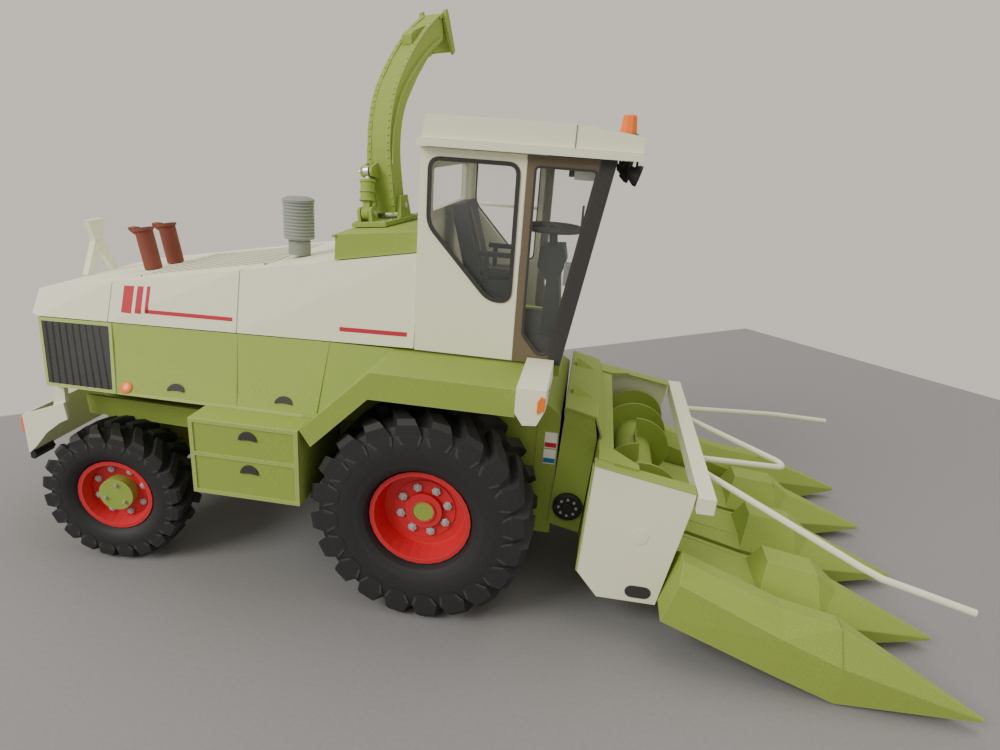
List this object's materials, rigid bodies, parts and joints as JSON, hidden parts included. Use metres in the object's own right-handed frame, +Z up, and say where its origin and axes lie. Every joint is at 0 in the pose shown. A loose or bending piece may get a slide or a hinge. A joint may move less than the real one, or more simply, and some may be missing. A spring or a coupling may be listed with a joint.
{
  "type": "card scale model of a forage harvester",
  "caption": "Card scale model of a self-propelled forage harvester with a maize header, steered rear wheels, a lifting header and a spout that slews and lifts.",
  "frame": {"origin": "on the ground under the middle of the model's overall length and width", "axes": "+X forward towards the header, +Y to the machine's left, +Z up"},
  "size_m": [0.2764, 0.12, 0.1699],
  "materials": {
    "green_card": "matte printed card",
    "cream_card": "matte printed card",
    "brown_card": "matte printed card",
    "dark_card": "matte printed card",
    "window_film": "clear plastic film",
    "tyre_card": "matte black card",
    "red_card": "printed card",
    "exhaust_card": "printed card",
    "grey_card": "printed card",
    "orange_lamp": "translucent"
  },
  "bodies": {
    "machine": {"chassis": "green_card", "front_axle": "green_card", "rear_axle": "green_card", "lower_body": "green_card", "turret": "green_card", "fender_r": "green_card", "fender_l": "green_card", "storage_box_r": "green_card", "storage_box_l": "green_card", "ladder": "green_card", "hood_rear": "cream_card", "hood_middle": "cream_card", "hood_front": "cream_card", "rear_bumper": "cream_card", "light_box_r": "cream_card", "light_box_l": "cream_card", "cab_side_r": "cream_card", "cab_side_l": "cream_card", "cab_rear_wall": "cream_card", "cab_roof": "cream_card", "spout_rest": "cream_card", "handrail": "cream_card", "door_frame_r": "brown_card", "door_frame_l": "brown_card", "windscreen_frame": "brown_card", "seat": "dark_card", "steering_column": "dark_card", "side_glass_r": "window_film", "side_glass_l": "window_film", "windscreen_glass": "window_film", "exhaust_r": "exhaust_card", "exhaust_l": "exhaust_card", "pre_cleaner": "grey_card", "beacon": "orange_lamp"},
    "front_wheel_r": {"front_tyre_r": "tyre_card", "front_rim_r": "red_card"},
    "front_wheel_l": {"front_tyre_l": "tyre_card", "front_rim_l": "red_card"},
    "steer_knuckle_r": {"knuckle_r": "green_card"},
    "steer_knuckle_l": {"knuckle_l": "green_card"},
    "rear_wheel_r": {"rear_tyre_r": "tyre_card", "rear_rim_r": "red_card"},
    "rear_wheel_l": {"rear_tyre_l": "tyre_card", "rear_rim_l": "red_card"},
    "spout_turntable": {"spout_base": "green_card"},
    "spout": {"spout_duct": "green_card"},
    "jack_barrel": {"lift_barrel": "green_card"},
    "jack_rod": {"lift_rod": "grey_card"},
    "flap": {"spout_flap": "green_card"},
    "header": {"feeder_house": "green_card", "header_trough": "green_card", "header_side_r": "cream_card", "header_side_l": "cream_card", "guard_bar": "cream_card", "divider_r": "green_card", "divider_centre": "green_card", "divider_l": "green_card", "outer_divider_r": "green_card", "outer_divider_l": "green_card"},
    "auger": {"header_auger": "green_card"}
  },
  "joints": [
    {"name": "front_wheel_r_spin", "type": "hinge", "parent": "machine", "child": "front_wheel_r", "pos_m": [-0.00825, -0.0405, 0.031], "axis": [0, 1, 0], "continuous": true},
    {"name": "front_wheel_l_spin", "type": "hinge", "parent": "machine", "child": "front_wheel_l", "pos_m": [-0.00825, 0.0405, 0.031], "axis": [0, 1, 0], "continuous": true},
    {"name": "steer_r", "type": "hinge", "parent": "machine", "child": "steer_knuckle_r", "pos_m": [-0.10505, -0.0276, 0.0214], "axis": [0, 0, 1], "range_deg": [-21.7, 8.3]},
    {"name": "steer_l", "type": "hinge", "parent": "machine", "child": "steer_knuckle_l", "pos_m": [-0.10505, 0.0276, 0.0214], "axis": [0, 0, 1], "range_deg": [-21.7, 8.3]},
    {"name": "rear_wheel_r_spin", "type": "hinge", "parent": "steer_knuckle_r", "child": "rear_wheel_r", "pos_m": [-0.10374, -0.03872, 0.0214], "axis": [-0.1167, 0.9932, 0], "continuous": true},
    {"name": "rear_wheel_l_spin", "type": "hinge", "parent": "steer_knuckle_l", "child": "rear_wheel_l", "pos_m": [-0.10636, 0.03872, 0.0214], "axis": [-0.1167, 0.9932, 0], "continuous": true},
    {"name": "spout_slew", "type": "hinge", "parent": "machine", "child": "spout_turntable", "pos_m": [-0.03245, 0, 0.1033], "axis": [-0.1219, 0, 0.9925], "range_deg": [-5, 205]},
    {"name": "spout_lift", "type": "hinge", "parent": "spout_turntable", "child": "spout", "pos_m": [-0.03289, 0.00098, 0.10828], "axis": [-0.9775, 0.1736, -0.12], "range_deg": [0, 25]},
    {"name": "jack_tilt", "type": "hinge", "parent": "spout_turntable", "child": "jack_barrel", "pos_m": [-0.0369, -0.00894, 0.10658], "axis": [-0.9775, 0.1736, -0.12], "range_deg": [0, 16]},
    {"name": "jack_stroke", "type": "slide", "parent": "jack_barrel", "child": "jack_rod", "axis": [-0.0752, 0.2446, 0.9667], "range_m": [0, 0.00402]},
    {"name": "flap_tilt", "type": "hinge", "parent": "spout", "child": "flap", "pos_m": [-0.03217, 0.04618, 0.16786], "axis": [0.9775, -0.1736, 0.12], "range_deg": [-8, 80]},
    {"name": "header_lift", "type": "hinge", "parent": "machine", "child": "header", "pos_m": [-0.00025, 0, 0.042], "axis": [0, -1, 0], "range_deg": [0, 8]},
    {"name": "auger_spin", "type": "hinge", "parent": "header", "child": "auger", "pos_m": [0.05125, 0, 0.032], "axis": [0, 1, 0], "continuous": true}
  ],
  "couplings": [
    {"joint": "steer_l", "follows": "steer_r", "ratio": 1},
    {"joint": "jack_tilt", "follows": "spout_lift", "ratio": 0.63993},
    {"joint": "jack_stroke", "follows": "spout_lift", "m_per_rad": 0.009207}
  ]
}
